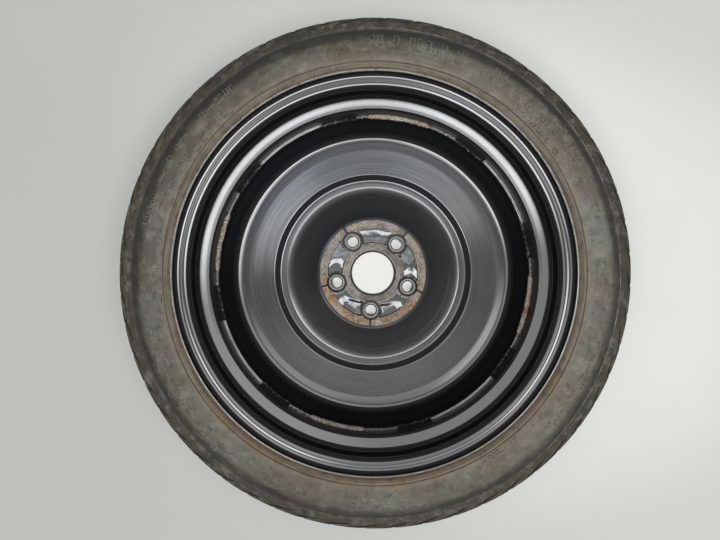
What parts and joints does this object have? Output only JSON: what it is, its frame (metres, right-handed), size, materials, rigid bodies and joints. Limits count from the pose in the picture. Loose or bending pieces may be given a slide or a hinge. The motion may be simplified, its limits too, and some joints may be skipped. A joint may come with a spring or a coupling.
{
  "type": "temporary spare car wheel",
  "caption": "Narrow steel spare wheel with its tyre: rolled rim, pressed disc welded in by its edge, hub pad with nut holes, snap-in valve with cap.",
  "frame": {"origin": "centre of the hub face, on the wheel's axis", "axes": "+Z along the wheel's axis out of the hub face, towards the car; the wheel lies on its outer side"},
  "size_m": [0.607, 0.607, 0.1302],
  "materials": {
    "tyre": "dusty, aged rubber",
    "black_paint": "glossy black, scratched and rusty at the hub pad",
    "weld": "rough weld with thin paint and rust",
    "rubber": "moulded",
    "brass": "turned, dull",
    "gasket": "smooth",
    "spring_steel": "drawn wire",
    "cap_plastic": "moulded"
  },
  "bodies": {
    "wheel": {"tyre": "tyre", "rim": "black_paint", "disc": "black_paint", "weld_beads": "weld", "valve_body": "rubber", "valve_tube": "brass", "core_plug": "brass", "core_barrel": "brass", "core_gasket": "gasket", "core_spring": "spring_steel"},
    "valve_pin": {"valve_pin": "brass", "pin_seal": "rubber"},
    "cap_seal": {"cap_seal": "rubber"},
    "valve_cap": {"valve_cap": "cap_plastic"}
  },
  "joints": [
    {"name": "pin_press", "type": "slide", "parent": "wheel", "child": "valve_pin", "axis": [0.454, 0, 0.891], "range_m": [0, 0.0014], "stiffness_N_per_m": 400, "springref_m": -0.001, "deforming": ["core_spring"]},
    {"name": "cap_lift", "type": "slide", "parent": "wheel", "child": "cap_seal", "axis": [-0.454, 0, -0.891], "range_m": [0, 0.01032]},
    {"name": "cap_turn", "type": "hinge", "parent": "cap_seal", "child": "valve_cap", "pos_m": [0.2068, 0, 0.0189], "axis": [-0.454, 0, -0.891], "range_deg": [0, 4680]}
  ],
  "couplings": [
    {"joint": "cap_turn", "follows": "cap_lift", "rad_per_m": 7913.3}
  ]
}
